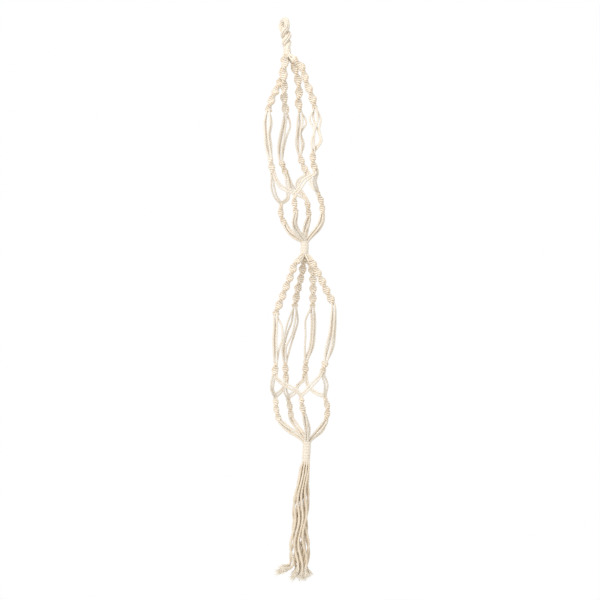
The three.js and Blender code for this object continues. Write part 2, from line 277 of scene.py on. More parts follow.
def makeCottonPattern(settings):
    # cotton colour and height from the cord's own length, painted shade in the ply grooves, painted
    # shade where strands interlock or lie hidden, and tint
    group = bpy.data.node_groups.new("cottonPattern", "ShaderNodeTree")
    addSocket(group, "Crest Colour", "NodeSocketColor", "INPUT", (0.8, 0.7, 0.5, 1))
    addSocket(group, "Shade And Tone Colour", "NodeSocketColor", "INPUT", (0.5, 0.4, 0.2, 1))
    addSocket(group, "Groove Shade Amount", "NodeSocketFloat", "INPUT", 0.3)
    addSocket(group, "Shade Amount", "NodeSocketFloat", "INPUT", 0.6)
    addSocket(group, "Patch Amount", "NodeSocketFloat", "INPUT", 0.5)
    addSocket(group, "Colour", "NodeSocketColor", "OUTPUT")
    addSocket(group, "Height", "NodeSocketFloat", "OUTPUT")
    nodes, links = group.nodes, group.links
    given = nodes.new("NodeGroupInput")
    result = nodes.new("NodeGroupOutput")

    def attribute(name):
        node = nodes.new("ShaderNodeAttribute")
        node.attribute_name = name
        return node

    def noise(vector, scale, detail, roughness=0.6):
        node = nodes.new("ShaderNodeTexNoise")
        node.inputs["Scale"].default_value = scale
        node.inputs["Detail"].default_value = detail
        node.inputs["Roughness"].default_value = roughness
        links.new(vector, node.inputs["Vector"])
        return node.outputs["Fac"]

    def stretched(vector, scale):
        node = nodes.new("ShaderNodeMapping")
        node.inputs["Scale"].default_value = scale
        links.new(vector, node.inputs["Vector"])
        return node.outputs["Vector"]

    def calculate(operation, first, second, third=None):
        node = nodes.new("ShaderNodeMath")
        node.operation = operation
        node.use_clamp = operation == "MINIMUM"
        for socket, value in zip(node.inputs, (first, second, third)):
            if value is None:
                continue
            if isinstance(value, (int, float)):
                socket.default_value = value
            else:
                links.new(value, socket)
        return node.outputs[0]

    tube = attribute("cordTube").outputs["Vector"]
    yarns = noise(stretched(tube, settings["yarnScale"]), 1.0, settings["yarnDetail"])
    fuzz = noise(stretched(tube, settings["fuzzScale"]), 1.0, settings["fuzzDetail"],
                 settings["fuzzRoughness"])
    objectPlace = nodes.new("ShaderNodeTexCoord").outputs["Object"]
    patches = noise(objectPlace, settings["patchScale"], settings["patchDetail"])
    grooveShade = attribute("grooveShade").outputs["Fac"]
    shade = attribute("shade").outputs["Fac"]
    tint = attribute("tint").outputs["Fac"]
    yarnShift = calculate("SUBTRACT", yarns, 0.5)
    patchShift = calculate("SUBTRACT", patches, 0.5)
    # blend towards the dark colour: painted shade in the ply grooves, painted shade where strands
    # interlock or lie hidden, and the real tone changes of yarns, patches and strands
    shadeAndTone = calculate("MULTIPLY", grooveShade, given.outputs["Groove Shade Amount"])
    shadeAndTone = calculate("MULTIPLY_ADD", shade, given.outputs["Shade Amount"], shadeAndTone)
    shadeAndTone = calculate("MULTIPLY_ADD", yarnShift, settings["yarnContrast"], shadeAndTone)
    shadeAndTone = calculate("MULTIPLY_ADD", patchShift, given.outputs["Patch Amount"], shadeAndTone)
    shadeAndTone = calculate("MULTIPLY_ADD", tint, settings["tintContrast"], shadeAndTone)
    shadeAndTone = calculate("MINIMUM", shadeAndTone, 1.0)
    blend = nodes.new("ShaderNodeMix")
    blend.data_type = "RGBA"
    links.new(shadeAndTone, blend.inputs["Factor"])
    links.new(given.outputs["Crest Colour"], blend.inputs["A"])
    links.new(given.outputs["Shade And Tone Colour"], blend.inputs["B"])
    links.new(blend.outputs["Result"], result.inputs["Colour"])
    height = calculate("MULTIPLY_ADD", fuzz, settings["fuzzHeight"], yarns)
    links.new(height, result.inputs["Height"])
    return group


cottonPattern = makeCottonPattern(patternSettings)


def cottonMaterial(name, settings):
    material = bpy.data.materials.new(name)
    material.use_nodes = True
    nodes, links = material.node_tree.nodes, material.node_tree.links
    shader = nodes["Principled BSDF"]
    pattern = nodes.new("ShaderNodeGroup")
    pattern.node_tree = cottonPattern
    bump = nodes.new("ShaderNodeBump")
    for node, socket, setting in (
        (shader, "Roughness", "roughness"),
        (shader, "Specular IOR Level", "specular"),
        (shader, "Sheen Weight", "sheen"),
        (shader, "Sheen Roughness", "sheenRoughness"),
        (shader, "Sheen Tint", "sheenTint"),
        (pattern, "Crest Colour", "crest"),
        (pattern, "Shade And Tone Colour", "grooveShade"),
        (pattern, "Groove Shade Amount", "grooveShadeAmount"),
        (pattern, "Shade Amount", "shadeAmount"),
        (pattern, "Patch Amount", "patchAmount"),
        (bump, "Strength", "bump"),
        (bump, "Distance", "bumpDistance"),
    ):
        node.inputs[socket].default_value = settings[setting]
    links.new(pattern.outputs["Height"], bump.inputs["Height"])
    links.new(bump.outputs["Normal"], shader.inputs["Normal"])
    links.new(pattern.outputs["Colour"], shader.inputs["Base Color"])
    return material


strandFinish = {
    "crest": (0.94, 0.86, 0.74, 1),
    # the dark colour: painted shade, and the real tone changes of the yarns, patches and strands,
    # blend towards it
    "grooveShade": (0.62, 0.44, 0.245, 1),
    # how strong the painted shade is in the ply grooves, and where strands interlock or lie hidden
    "grooveShadeAmount": 0.22,
    "shadeAmount": 0.6,
    "patchAmount": 0.35,
    "roughness": 0.9,
    "specular": 0.25,
    "sheen": 0.06,
    "sheenRoughness": 0.5,
    "sheenTint": (1.0, 0.96, 0.88, 1),
    "bump": 0.5,
    "bumpDistance": 0.0004,
}
strandCotton = cottonMaterial("strandCotton", strandFinish)
knotCotton = cottonMaterial("knotCotton", {**strandFinish, "grooveShadeAmount": 0.16})
wrapCotton = cottonMaterial("wrapCotton", {**strandFinish, "grooveShadeAmount": 0.12})
tasselCotton = cottonMaterial("tasselCotton", {**strandFinish, "crest": (0.9, 0.785, 0.63, 1)})
frayCotton = cottonMaterial("frayCotton", {
    **strandFinish,
    "crest": (0.95, 0.88, 0.76, 1),
    "grooveShadeAmount": 0,
    "shadeAmount": 0.4,
    "sheen": 0.15,
})

# tassel: sixteen free strands, four rows of four, opening out and swaying as they fall
tasselAxis = [
    (-0.0013, 0, -0.9375), (-0.005, 0, -0.954), (-0.0075, 0, -0.967), (-0.011, 0, -0.992),
    (-0.015, 0, -1.018), (-0.018, 0, -1.043), (-0.0205, 0, -1.069), (-0.0215, 0, -1.094),
    (-0.0235, 0, -1.119), (-0.0255, 0, -1.145), (-0.028, 0, -1.185),
]
# for each strand, row by row from the front: how far its end turns aside in x and y, and the
# height of its end
tasselEnds = [
    (-0.019, -0.002, -1.161), (-0.004, 0, -1.168), (0, 0, -1.177), (0.003, -0.001, -1.17),
    (-0.027, 0, -1.166), (-0.005, 0, -1.179), (-0.001, 0.001, -1.172), (0.003, 0, -1.175),
    (-0.02, 0.001, -1.158), (-0.006, 0, -1.17), (-0.001, -0.001, -1.18), (0.003, 0, -1.173),
    (-0.027, 0.002, -1.163), (-0.005, 0.001, -1.175), (-0.001, 0.001, -1.168),
    (0.003, 0.001, -1.177),
]
tasselSettings = {
    "rowCount": 4,
    "spacing": 0.0043,
    "widening": 1.1,
    "deepening": 1.1,
    "sway": 0.0055,
    "depthSwayShare": 0.45,  # of the room between two rows
    "swaysAlong": 2.3,
    "rowTimes": (0, 0.37, 0.71, 0.18),
    "rowShifts": (-0.003, 0.002, -0.001, 0.003),
    "columnLag": 0.07,
    "clearance": 0.0042,
    "endTurning": 58,  # the power that keeps the turn aside at the very end
    "routePoints": 36,
    "crowding": 1.6,  # the power that crowds a route's points towards its end
    "bendStart": (-0.0005, 0, -0.93),  # two places near the top of the tassel
    "bendEnd": (-0.0065, 0, -0.962),
    "inset": 0.009,  # how far a strand reaches up into the wrap
    "fatterAt": (0, 0.04, 0.15, 0.35, 0.93, 1),  # the cord's width against its length
    "fatter": (0.85, 1, 1.06, 1.3, 1.36, 1.1),
    "shortBy": 0.014,  # the cord is unravelled from here
    "yarns": 120,
    "unravelled": 0.008,  # the yarns leave the cord along this much of it
    "frayLength": (0.012, 0.024),
    "fraySpread": 0.008,
    "yarnRadius": 0.0004,
    "yarnPoints": 8,
    "yarnRing": 0.0014,  # the yarns leave from places within this radius
    "yarnCurl": 0.0008,
    "yarnCurlWaves": (1, 2.2),
    "yarnBending": 1.7,
}


def tasselRoute(index, settings):
    # middle line, plus a row and column place that widens with the root of the share fallen,
    # plus a sine sway in the row's own time, plus a sharp turn aside at the very end
    axis = curveThrough(tasselAxis)
    endX, endY, endHeight = tasselEnds[index]
    row, column = divmod(index, settings["rowCount"])
    middle = (settings["rowCount"] - 1) / 2
    reach = alongLength(axis) / alongLength(axis)[-1]
    endShare = np.interp(-endHeight, -axis[:, 2], reach)
    share = 1 - (1 - np.linspace(0, 1, settings["routePoints"])) ** settings["crowding"]
    opened = np.sqrt(share)
    rowSpacing = settings["spacing"] * (1 + settings["deepening"] * opened)
    lag = settings["rowTimes"][row] + settings["columnLag"] * column
    time = 2 * math.pi * (settings["swaysAlong"] * share + lag)
    shiftX = opened * (settings["sway"] * np.sin(time) + settings["rowShifts"][row])
    room = rowSpacing - settings["clearance"]
    swayY = settings["depthSwayShare"] * room * np.sin(time + 2 * column)
    turned = share ** settings["endTurning"]
    columnSpacing = settings["spacing"] * (1 + settings["widening"] * opened)
    points = readAt(share * endShare, reach, axis)
    points[:, 0] += columnSpacing * (column - middle)
    points[:, 0] += shiftX + endX * turned
    points[:, 1] += rowSpacing * (row - middle) + swayY + endY * turned
    return points


def frayedEnd(route, cordEnd, settings):
    # each yarn leaves the strand near its end, follows the strand's own line past the end and
    # bends away from it by a power of the share of its length
    fray = []
    heading = unit(route[-1] - route[-5])
    longest = settings["frayLength"][1]
    longer = np.vstack([route, route[-1] + 0.02 * heading])  # runs on past the longest yarn
    side = unit(np.cross(heading, [0.0, 1.0, 0.0]))
    other = np.cross(heading, side)
    t = np.linspace(0, 1, settings["yarnPoints"])[:, None]
    for _ in range(settings["yarns"]):
        turn = random.uniform(0, 2 * math.pi)
        wide = math.sqrt(random.uniform(0, 1))
        outward = math.cos(turn) * side + math.sin(turn) * other
        start = cordEnd - settings["unravelled"] * random.uniform(0, 1)
        end = cordEnd + random.uniform(*settings["frayLength"])
        bend = settings["fraySpread"] * wide * (end - cordEnd) / longest
        curl = random.normal(0, settings["yarnCurl"], 3)
        line = spotAt(longer, (start + t * (end - start)).ravel())
        line = line + (settings["yarnRing"] * wide + t ** settings["yarnBending"] * bend) * outward
        line = line + np.sin(math.pi * t * random.uniform(*settings["yarnCurlWaves"])) * curl
        fray.append(plainYarn(line, settings["yarnRadius"], outward))
    return fray


def plainYarn(path, radius, reference, sides=5):
    # a thin round yarn that narrows to its tip, with painted shade where it leaves the cord
    side, other = across(path, reference)
    angle = np.arange(sides) * 2 * math.pi / sides
    out = ringDirections(angle[None, :], side, other)
    width = radius * np.linspace(1, 0.35, len(path))[:, None, None]
    reach = alongLength(path)
    tube = np.zeros((len(path), sides, 3)) + reach[:, None, None] + random.uniform(0, 1)
    return {
        "points": path[:, None, :] + width * out,
        "tube": tube,
        "grooveShade": np.zeros((len(path), sides)),
        "shade": np.zeros((len(path), sides)) + np.linspace(0.5, 0.0, len(path))[:, None],
    }


def addTassel(settings):
    for index in range(len(tasselEnds)):
        number = f"{index + 1:02d}"
        route = tasselRoute(index, settings)
        exitPoint = route[0].copy()
        root = exitPoint + np.array([0.0, 0.0, settings["inset"]])
        root[:2] = 0.5 * root[:2]  # the roots crowd together inside the wrap
        route = curveThrough(np.vstack([root, route]))
        cordEnd = alongLength(route)[-1] - settings["shortBy"]
        path = route[alongLength(route) <= cordEnd]
        taper = np.interp(np.linspace(0, 1, 60), settings["fatterAt"], settings["fatter"])
        strand = twistedCord(path, (0, 1, 0), phase=random.uniform(0, 6), taper=taper)
        cord = buildPiece(f"tassel_cord_{number}", [strand], tasselCotton, None,
                          [f"tassel_strand_{number}"])
        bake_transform(cord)
        fray = buildPiece(f"tassel_fray_{number}", frayedEnd(route, cordEnd, settings),
                          frayCotton, "tassel")


addTassel(tasselSettings)
print("tassel made")

# routes of the arms and cradles, from the loop down, in metres
upperArms = {
    "front_left": {
        "route": [(-0.001, 0.004, -0.07), (-0.004, 0.007, -0.08), (-0.009, 0.009, -0.105),
                  (-0.013, 0.008, -0.119), (-0.018, 0.005, -0.13), (-0.025, -0.004, -0.144),
                  (-0.034, -0.018, -0.163), (-0.044, -0.031, -0.191), (-0.047, -0.038, -0.215),
                  (-0.048, -0.041, -0.24), (-0.046, -0.042, -0.27), (-0.044, -0.042, -0.292),
                  (-0.04, -0.041, -0.322)],
        "spiral": (-0.08, -0.191),
        "shortSpiral": (-0.29, -0.322),
        "bows": [
            [(-0.006, -0.003), (-0.005, -0.004), (-0.006, -0.003)],
            [(-0.003, 0.003), (-0.002, 0.004), (-0.002, 0.003)],
            [(0.006, -0.002), (0.002, -0.004), (0.002, -0.003)],
            [(0.01, 0.003), (0.006, 0.004), (0.006, 0.003)],
        ],
    },
    "back_left": {
        "route": [(-0.001, -0.004, -0.07), (-0.002, -0.007, -0.08), (-0.006, -0.008, -0.103),
                  (-0.007, -0.008, -0.119), (-0.007, -0.006, -0.13), (-0.008, 0.003, -0.144),
                  (-0.009, 0.016, -0.165), (-0.007, 0.025, -0.19), (-0.01, 0.031, -0.212),
                  (-0.016, 0.034, -0.237), (-0.022, 0.036, -0.265), (-0.023, 0.037, -0.286),
                  (-0.02, 0.037, -0.298), (-0.013, 0.036, -0.318)],
        "spiral": (-0.08, -0.19),
        "shortSpiral": (-0.291, -0.318),
        "bows": [
            [(-0.005, -0.003), (-0.006, -0.003), (-0.005, -0.003)],
            [(-0.002, 0.003), (-0.002, 0.004), (-0.002, 0.004)],
            [(0.002, -0.003), (0.004, -0.003), (0.003, -0.003)],
            [(0.012, 0.003), (0.009, 0.003), (0.007, 0.003)],
        ],
    },
    "back_right": {
        "route": [(0.007, 0.004, -0.07), (0.012, 0.007, -0.082), (0.021, 0.01, -0.113),
                  (0.024, 0.018, -0.145), (0.021, 0.027, -0.166), (0.024, 0.033, -0.188),
                  (0.025, 0.037, -0.211), (0.019, 0.04, -0.237), (0.02, 0.042, -0.262),
                  (0.019, 0.042, -0.279), (0.024, 0.041, -0.3), (0.031, 0.039, -0.317)],
        "spiral": (-0.082, -0.188),
        "shortSpiral": (-0.279, -0.317),
        "bows": [
            [(-0.008, -0.003), (-0.005, -0.003), (-0.008, -0.003)],
            [(-0.003, 0.003), (-0.002, 0.003), (-0.003, 0.003)],
            [(0.003, -0.002), (0.002, -0.003), (0.004, -0.003)],
            [(0.011, 0.003), (0.004, 0.003), (0.009, 0.003)],
        ],
    },
    "front_right": {
        "route": [(0.007, -0.004, -0.07), (0.016, -0.008, -0.08), (0.032, -0.013, -0.099),
                  (0.039, -0.02, -0.129), (0.049, -0.028, -0.159), (0.055, -0.034, -0.19),
                  (0.055, -0.037, -0.211), (0.056, -0.039, -0.237), (0.054, -0.04, -0.262),
                  (0.047, -0.04, -0.282), (0.045, -0.039, -0.3), (0.0495, -0.037, -0.32)],
        "spiral": (-0.084, -0.19),
        "shortSpiral": (-0.281, -0.32),
        "bows": [
            [(-0.012, -0.002), (-0.005, -0.003), (-0.01, -0.003)],
            [(-0.004, 0.003), (0.003, 0.003), (0.008, 0.003)],
            [(0.005, -0.003), (-0.003, -0.003), (-0.005, -0.002)],
            [(0.011, 0.002), (0.006, 0.002), (0.011, 0.002)],
        ],
    },
}

lowerArms = {
    "front_left": {
        "route": [(0.0139, -0.0044, -0.497), (0.007, -0.008, -0.504), (-0.003, -0.013, -0.515),
                  (-0.013, -0.022, -0.539), (-0.025, -0.031, -0.564), (-0.035, -0.038, -0.587),
                  (-0.049, -0.046, -0.621), (-0.048, -0.048, -0.65), (-0.051, -0.049, -0.68),
                  (-0.054, -0.049, -0.705), (-0.054, -0.048, -0.721), (-0.057, -0.046, -0.746)],
        "spiral": (-0.513, -0.621),
        "shortSpiral": (-0.72, -0.745),
        "bows": [
            [(-0.006, -0.003), (-0.007, -0.004), (-0.004, -0.003)],
            [(-0.003, 0.003), (-0.004, 0.003), (-0.002, 0.003)],
            [(0.001, -0.001), (0, -0.002), (0.002, -0.003)],
            [(0.011, 0.002), (0.012, 0.003), (0.007, 0.003)],
        ],
    },
    "back_left": {
        "route": [(0.0139, 0.0044, -0.497), (0.0145, 0.007, -0.513), (0.008, 0.016, -0.543),
                  (0.001, 0.024, -0.564), (-0.008, 0.033, -0.604), (-0.012, 0.037, -0.631),
                  (-0.02, 0.04, -0.658), (-0.029, 0.041, -0.684), (-0.034, 0.041, -0.703),
                  (-0.035, 0.04, -0.73), (-0.035, 0.038, -0.764)],
        "spiral": (-0.513, -0.606),
        "shortSpiral": (-0.724, -0.764),
        "bows": [
            [(-0.011, -0.003), (-0.011, -0.003), (-0.008, -0.003)],
            [(-0.003, 0.003), (-0.006, 0.003), (-0.004, 0.003)],
            [(0.004, -0.003), (0.005, -0.003), (0, -0.003)],
            [(0.01, 0.003), (0.01, 0.003), (0.009, 0.003)],
        ],
    },
    "back_right": {
        "route": [(0.0228, 0.0044, -0.497), (0.0285, 0.01, -0.514), (0.033, 0.019, -0.535),
                  (0.033, 0.028, -0.56), (0.031, 0.038, -0.593), (0.03, 0.041, -0.606),
                  (0.024, 0.044, -0.631), (0.021, 0.046, -0.665), (0.018, 0.046, -0.695),
                  (0.01, 0.044, -0.724), (0.006, 0.041, -0.758)],
        "spiral": (-0.513, -0.608),
        "shortSpiral": (-0.722, -0.758),
        "bows": [
            [(-0.01, -0.002), (-0.009, -0.003), (-0.009, -0.003)],
            [(0.003, 0.003), (0.003, 0.003), (0.001, 0.003)],
            [(0.007, -0.003), (0.007, -0.003), (0.005, -0.003)],
            [(0.011, 0.002), (0.011, 0.002), (0.009, 0.002)],
        ],
    },
    "front_right": {
        "route": [(0.0228, -0.0044, -0.497), (0.032, -0.009, -0.511), (0.042, -0.014, -0.53),
                  (0.052, -0.021, -0.553), (0.062, -0.028, -0.577), (0.073, -0.036, -0.603),
                  (0.075, -0.038, -0.614), (0.072, -0.04, -0.631), (0.069, -0.042, -0.658),
                  (0.063, -0.042, -0.684), (0.057, -0.041, -0.71), (0.05, -0.04, -0.726),
                  (0.043, -0.038, -0.747)],
        "spiral": (-0.513, -0.604),
        "shortSpiral": (-0.723, -0.745),
        "bows": [
            [(-0.005, -0.003), (-0.006, -0.003), (-0.008, -0.003)],
            [(-0.002, 0.003), (-0.002, 0.003), (-0.003, 0.003)],
            [(0.002, -0.003), (0.002, -0.003), (0.003, -0.003)],
            [(0.005, 0.003), (0.006, 0.003), (0.008, 0.003)],
        ],
    },
}

upperCradles = {
    "left": {
        "comesFrom": {
            "front_left": [(-0.042, -0.024, -0.35), (-0.037, -0.012, -0.371)],
            "back_left": [(-0.01, 0.024, -0.352), (-0.012, 0.012, -0.374)],
        },
        "route": [(-0.027, -0.002, -0.39), (-0.028, -0.001, -0.409), (-0.02, -0.001, -0.43)],
        "tail": [(-0.012, -0.001, -0.444), (0.001, 0, -0.456), (0.0132, 0, -0.4656)],
    },
    "front": {
        "comesFrom": {
            "front_left": [(-0.025, -0.044, -0.351), (-0.013, -0.044, -0.358)],
            "front_right": [(0.026, -0.042, -0.341), (0.013, -0.043, -0.359)],
        },
        "route": [(0.003, -0.041, -0.372), (0.002, -0.04, -0.388), (0.004, -0.038, -0.408)],
        "tail": [(0, -0.032, -0.428), (0.006, -0.02, -0.446), (0.0195, -0.0064, -0.4656)],
    },
    "right": {
        "comesFrom": {
            "front_right": [(0.0465, -0.024, -0.343), (0.05, -0.01, -0.356)],
            "back_right": [(0.042, 0.024, -0.347), (0.048, 0.01, -0.357)],
        },
        "route": [(0.053, 0, -0.366), (0.06, 0, -0.388), (0.0605, 0, -0.412)],
        "tail": [(0.058, 0, -0.424), (0.048, 0, -0.441), (0.036, 0, -0.455), (0.0258, 0, -0.4656)],
    },
    "back": {
        "comesFrom": {
            "back_right": [(0.013, 0.044, -0.335), (0.01, 0.045, -0.345), (0.019, 0.043, -0.36)],
            "back_left": [(-0.001, 0.04, -0.347), (0.008, 0.042, -0.361)],
        },
        "route": [(0.029, 0.04, -0.38), (0.031, 0.038, -0.397), (0.031, 0.035, -0.417)],
        "tail": [(0.026, 0.025, -0.434), (0.021, 0.014, -0.45), (0.0195, 0.0064, -0.4656)],
    },
}

lowerCradles = {
    "left": {
        "comesFrom": {
            "front_left": [(-0.065, -0.026, -0.775)],
            "back_left": [(-0.047, 0.018, -0.784)],
        },
        "route": [(-0.059, -0.002, -0.799), (-0.058, -0.002, -0.824), (-0.053, -0.002, -0.845)],
        "tail": [(-0.04, -0.001, -0.859), (-0.02, -0.001, -0.875), (-0.0035, 0, -0.8914)],
    },
    "front": {
        "comesFrom": {
            "front_left": [(-0.041, -0.048, -0.765), (-0.025, -0.048, -0.774),
                           (-0.013, -0.047, -0.781)],
            "front_right": [(0.025, -0.042, -0.766), (0.009, -0.046, -0.781)],
        },
        "route": [(-0.004, -0.044, -0.798), (-0.003, -0.042, -0.815), (0.001, -0.038, -0.834)],
        "tail": [(0.004, -0.03, -0.852), (0.005, -0.017, -0.873), (0.003, -0.0064, -0.8914)],
    },
    "right": {
        "comesFrom": {
            "front_right": [(0.05, -0.022, -0.774)],
            "back_right": [(0.014, 0.032, -0.779), (0.028, 0.018, -0.792)],
        },
        "route": [(0.047, 0, -0.804), (0.051, 0, -0.825), (0.046, 0, -0.85)],
        "tail": [(0.036, 0, -0.866), (0.021, 0, -0.88), (0.0094, 0, -0.8914)],
    },
    "back": {
        "comesFrom": {
            "back_right": [(-0.01, 0.044, -0.775), (-0.018, 0.045, -0.79)],
            "back_left": [(-0.038, 0.044, -0.783)],
        },
        "route": [(-0.032, 0.042, -0.805), (-0.029, 0.04, -0.824), (-0.028, 0.037, -0.843)],
        "tail": [(-0.02, 0.028, -0.857), (-0.008, 0.016, -0.874), (0.003, 0.0064, -0.8914)],
    },
}

armSettings = {
    "corner": 0.0026,  # stand-off of a loose strand where it meets a spiral
    "overlap": 0.007,  # how far a strand reaches into the spiral next to it
    "early": 0.009,  # the knots start this much above the arm's stiff part
    "bendReach": 0.022,  # a length below the arm's hinge
    "rootShare": 0.35,  # how far the neck strands' roots stand from the hinge
    "neckSwirl": 1.2,
    "neckSpread": (0.6, 0.7, 0.9, 1, 1),
    "pairInside": 0.0012,  # how far apart two pairs of strands leave an arm
    "pairApart": 0.0032,
    "pairLead": 0.005,  # a pair runs on straight for this much
    "pairSwirl": 0.7,
    "pairSpread": (0.8, 1, 1.15, 1.1, 0.9),
    "knotLead": 0.004,
    "tailReach": 0.024,
    "tailRootShare": 0.3,
    "tailSwirl": 0.8,
    "tailSpread": (0.6, 1, 1.15, 1.15, 1, 0.75, 0.6),
}

# half knots round two filler strands; the knots turn a little each time, which makes the spiral
knotSettings = {
    "pitch": 0.004,
    "turn": math.radians(28),
    "cord": 0.0022,
    "width": 0.0065,
    "depth": 0.0026,
    "settle": 0.55,  # how level the strand lies as it crosses the fillers
    "filler": 0.002,
    # painted shade on the filler strands, hidden inside the knots
    "fillerShade": 0.55,
    "uneven": 0.06,
    "endWidth": 0.6,  # the first and last knots are this much narrower
    "sideShade": 0.85,  # how strong the painted shade is where the strands interlock
    "sideWidth": 0.45,  # how wide that shade is, as the sine of the lap
    "samples": 15,  # for each knot
    "step": 0.0012,
}
lowerKnotSettings = {**knotSettings, "turn": math.radians(33.5)}
shortKnotSettings = {**knotSettings, "turn": math.radians(38), "width": 0.0054}
cradleKnotSettings = {**shortKnotSettings, "width": 0.0048, "cord": 0.0021}

bundleRadius = 0.0022  # strands that aren't pulled tight are a little fatter


def distanceAtHeight(line, height):
    return float(np.interp(-height, -line[:, 2], alongLength(line)))


def stretch(line, start, end, step=0.001):
    count = max(3, int(round((end - start) / step)) + 1)
    return spotAt(line, np.linspace(start, end, count))


def spiralKnots(line, settings, startTurn):
    # working strand: an ellipse round the line, half a lap for each knot, in a frame that
    # turns with the knots; it climbs fastest at the sides, where the two strands interlock
    length = alongLength(line)[-1]
    knots = max(3, int(round(length / settings["pitch"])))
    pitch = length / knots
    t = np.linspace(0, knots, knots * settings["samples"])
    climb = t + settings["settle"] / (2 * math.pi) * np.sin(2 * math.pi * t)
    centre = spotAt(line, np.clip(pitch * climb, 0, length))
    side, other = across(centre, (1, 0, 0))
    turn = startTurn + settings["turn"] * t
    turnedSide = np.cos(turn)[:, None] * side + np.sin(turn)[:, None] * other
    turnedOther = -np.sin(turn)[:, None] * side + np.cos(turn)[:, None] * other
    narrow = settings["endWidth"]
    ends = np.interp(t, [0, 0.8, knots - 0.8, knots], [narrow, 1, 1, narrow])
    strands = []
    for worker in (0, 1):
        phase = math.pi * (t + worker)
        slack = np.interp(t, np.arange(knots + 1), random.normal(0, 1, knots + 1))
        loose = 1 + settings["uneven"] * slack
        u = -settings["width"] * np.cos(phase) * loose * ends
        v = settings["depth"] * np.sin(phase) * (0.5 + 0.5 * loose) * ends
        radial = u[:, None] * turnedSide + v[:, None] * turnedOther
        path = centre + radial
        # painted shade along the interlocks at the knots' sides, where the two working strands pass
        # under each other
        shade = settings["sideShade"] * np.exp(-(np.sin(phase) / settings["sideWidth"]) ** 2)
        strands.append(twistedCord(path, radial + 1e-6 * turnedSide, radius=settings["cord"],
                                   phase=random.uniform(0, 6), shade=shade,
                                   step=settings["step"]))
    for way in (-1, 1):
        path = centre + way * settings["filler"] * turnedSide
        keep = np.linspace(0, len(path) - 1, max(6, knots * 4)).astype(int)
        # painted shade on the hidden filler strands
        paintedShade = np.full(len(keep), settings["fillerShade"])
        strands.append(twistedCord(path[keep], turnedOther[keep], phase=random.uniform(0, 6),
                                   shade=paintedShade))
    return strands


def bundleOffsets(count):
    # places of a bundle's strands round its line, as [across, out] in strand radii
    if count == 2:
        return [(-1.03, 0), (1.03, 0)]
    return [(-1.9, 0.35), (-0.65, -0.95), (0.65, 0.95), (1.9, -0.35)]


def levelAcross(line):
    # the direction across a line that lies in the upright plane facing the front, with a
    # small push to one side so that it never vanishes
    tangent = unit(np.gradient(line, axis=0))
    return unit(np.cross([0.0, 1.0, 0.0], tangent) - 0.15 * np.array([1.0, 0.0, 0.0]))


def bundle(line, count, reference, swirl, spread, wobble=0.0006):
    # strands side by side along one line, slowly turning round each other; each strays from
    # its place by a sine of its own
    side, other = across(line, reference)
    share = alongLength(line) / alongLength(line)[-1]
    spread = np.interp(share, np.linspace(0, 1, len(spread)), spread)
    turn = swirl * (share - 0.5)
    strands = []
    for u, v in bundleOffsets(count):
        a = bundleRadius * spread * (u * np.cos(turn) - v * np.sin(turn))
        b = bundleRadius * spread * (u * np.sin(turn) + v * np.cos(turn))
        start = random.uniform(0, 6)
        stray = wobble * np.sin(math.pi * share) * np.sin(start + 7 * share)
        path = line + (a + stray)[:, None] * side + (b - stray)[:, None] * other
        strands.append(twistedCord(path, reference, radius=bundleRadius,
                                   phase=random.uniform(0, 6)))
    return strands


def looseStrands(line, start, end, bows, settings):
    # four strands held at both ends by the spirals, each bowed off the arm's line on its own
    strands = []
    for index, bow in enumerate(bows):
        corner = np.array([
            -settings["corner"] if index < 2 else settings["corner"],
            settings["corner"] if index % 2 else -settings["corner"],
            0.0,
        ])
        shares = [start + (end - start) * quarter / 4 for quarter in (1, 2, 3)]
        inset = settings["overlap"]
        points = [spotAt(line, [start - inset])[0] + 0.5 * corner,
                  spotAt(line, [start])[0] + corner]
        for distance, (x, y) in zip(shares, bow):
            points.append(spotAt(line, [distance])[0] + np.array([x, y, 0.0]))
        points += [spotAt(line, [end])[0] + corner,
                   spotAt(line, [end + inset])[0] + 0.5 * corner]
        strands.append(twistedCord(curveThrough(points), (0, 1, 0), radius=bundleRadius,
                                   phase=random.uniform(0, 6)))
    return strands


def addArm(tierName, side, arm, tierBody, hinge, knots, settings):
    line = curveThrough(arm["route"])
    start, end = [distanceAtHeight(line, height) for height in arm["spiral"]]
    start -= settings["early"]
    shortStart, shortEnd = [distanceAtHeight(line, height) for height in arm["shortSpiral"]]
    label = f"{tierName}_{side}"
    startTurn = random.uniform(0, math.pi)
    neckEnd = start + settings["overlap"]
    root = hinge + settings["rootShare"] * (line[0] - hinge)
    neckLine = curveThrough(np.vstack([root, line[0], stretch(line, 0.006, neckEnd)[::6]]))
    neck = buildPiece(f"{label}_neck_strands",
                      bundle(neckLine, 4, (1, 0, 0), settings["neckSwirl"], settings["neckSpread"]),
                      strandCotton)
    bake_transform(neck)
    spiral = buildPiece(f"{label}_spiral",
                        spiralKnots(stretch(line, start, end), knots, startTurn),
                        knotCotton, None, [f"{label}_sinnet"])
    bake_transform(spiral)
    buildPiece(f"{label}_slack_strands",
               looseStrands(line, end, shortStart, arm["bows"], settings),
               strandCotton, tierBody, [f"{label}_loose_strands"])
    buildPiece(f"{label}_short_spiral",
               spiralKnots(stretch(line, shortStart, shortEnd), shortKnotSettings, startTurn + 1),
               knotCotton, tierBody, [f"{label}_short_sinnet"])
    return {"end": spotAt(line, [shortEnd])[0], "down": unit(line[-1] - line[-6])}


def pairRoute(armEnd, target, otherTarget, middles, knotTop, settings):
    # a pair leaves its arm on the side of the cradle that it goes to
    down = armEnd["down"]
    apart = target - otherTarget
    apart = unit(apart - np.dot(apart, down) * down)
    inside = armEnd["end"] - settings["overlap"] * down + settings["pairInside"] * apart
    start = armEnd["end"] + settings["pairApart"] * apart
    lead = start + settings["pairLead"] * down
    return curveThrough(np.vstack([inside, start, lead, middles, knotTop]))


